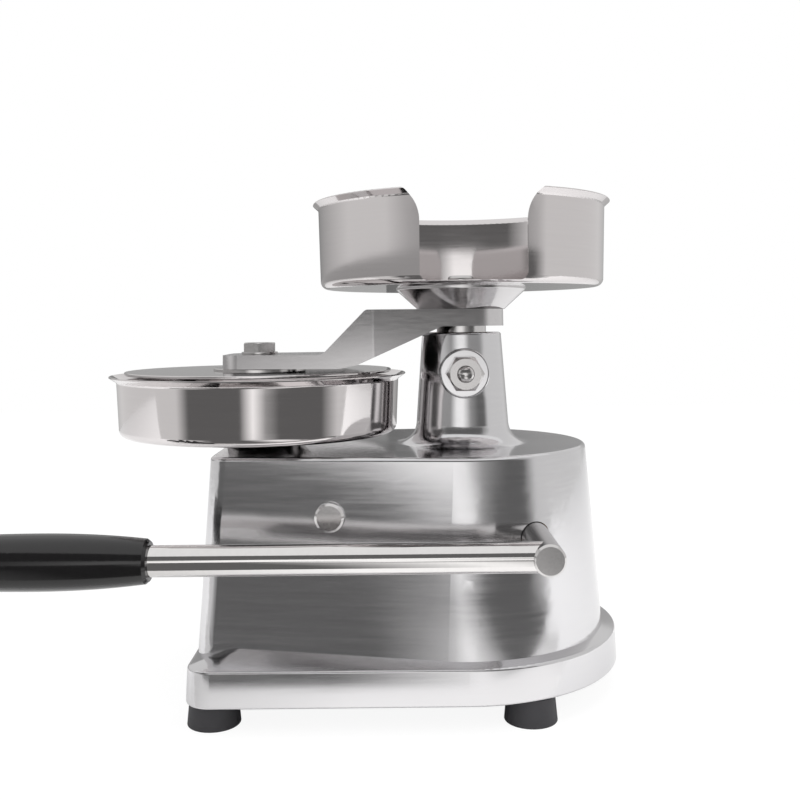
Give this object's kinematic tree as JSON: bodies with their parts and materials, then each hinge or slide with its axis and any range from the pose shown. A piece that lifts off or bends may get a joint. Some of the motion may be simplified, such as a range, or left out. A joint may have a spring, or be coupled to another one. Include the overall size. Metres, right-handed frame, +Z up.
{
  "type": "patty press",
  "caption": "Hand lever press for round meat patties: cast housing with column, forming bowl with ejector, swinging press arm and a paper tray on top.",
  "frame": {"origin": "centre of the object's box at the height of the surface that the feet stand on", "axes": "+Z up, X along the machine with the forming bowl and the grip's end towards -X, the lever on the -Y side"},
  "size_m": [0.3503, 0.2084, 0.266],
  "materials": {
    "cast_body": "polished casting, fine vertical polishing lines",
    "cast_arm": "polished casting",
    "stainless_sheet": "spun and polished, near mirror",
    "bright_steel": "turned and ground bright",
    "plated_lever": "bright chrome plate",
    "black_grip": "glossy black moulding",
    "steel_parts": "machined steel, oiled",
    "fasteners": "stainless fasteners, satin",
    "bronze_bushes": "sintered bronze, machined",
    "foot_rubber": "matte moulded rubber"
  },
  "bodies": {
    "housing": {"housing_casting": "cast_body", "foot_screws": "fasteners", "column_bush_upper": "bronze_bushes", "column_bush_lower": "bronze_bushes", "guide_screw": "bright_steel", "guide_lock_nut": "fasteners", "axle_bushes": "bronze_bushes", "ejector_guide_bush": "bronze_bushes", "stop_bar": "bright_steel", "stop_bar_rings": "steel_parts", "bowl_seat": "bright_steel", "forming_bowl": "stainless_sheet", "bowl_screws": "fasteners", "foot_front_near": "foot_rubber", "foot_front_far": "foot_rubber", "foot_rear_near": "foot_rubber", "foot_rear_far": "foot_rubber"},
    "lever": {"lever_axle": "bright_steel", "lever_pinion": "steel_parts", "pinion_key": "steel_parts", "axle_collars": "steel_parts", "collar_screws": "fasteners", "lever_rod": "plated_lever", "lever_grip": "black_grip"},
    "yoke": {"lift_yoke": "steel_parts", "thrust_washer": "steel_parts", "ejector_rod": "bright_steel", "ejector_clamp_screw": "fasteners", "ejector_plate": "stainless_sheet", "ejector_plate_screw": "fasteners"},
    "arm": {"lift_shaft": "bright_steel", "shaft_end_washer": "steel_parts", "shaft_end_screw": "fasteners", "press_arm": "cast_arm", "arm_set_screw": "fasteners", "press_plate": "stainless_sheet", "plate_boss": "bright_steel", "arm_bolt": "fasteners", "arm_bolt_washer": "fasteners", "tray_cone": "cast_arm", "paper_tray": "stainless_sheet", "tray_washer": "fasteners", "tray_screw": "fasteners"}
  },
  "joints": [
    {"name": "lever_turn", "type": "hinge", "parent": "housing", "child": "lever", "pos_m": [0.12283, 0.01688, 0.0905], "axis": [0, 1, 0], "range_deg": [-8.8, 172.6]},
    {"name": "yoke_lift", "type": "slide", "parent": "housing", "child": "yoke", "axis": [0, 0, 1], "range_m": [-0.003, 0.0588]},
    {"name": "arm_swing", "type": "hinge", "parent": "yoke", "child": "arm", "pos_m": [0.09083, 0.01688, 0], "axis": [0, 0, 1], "range_deg": [-90, 0]}
  ],
  "couplings": [
    {"joint": "yoke_lift", "follows": "lever_turn", "m_per_rad": 0.0195}
  ]
}
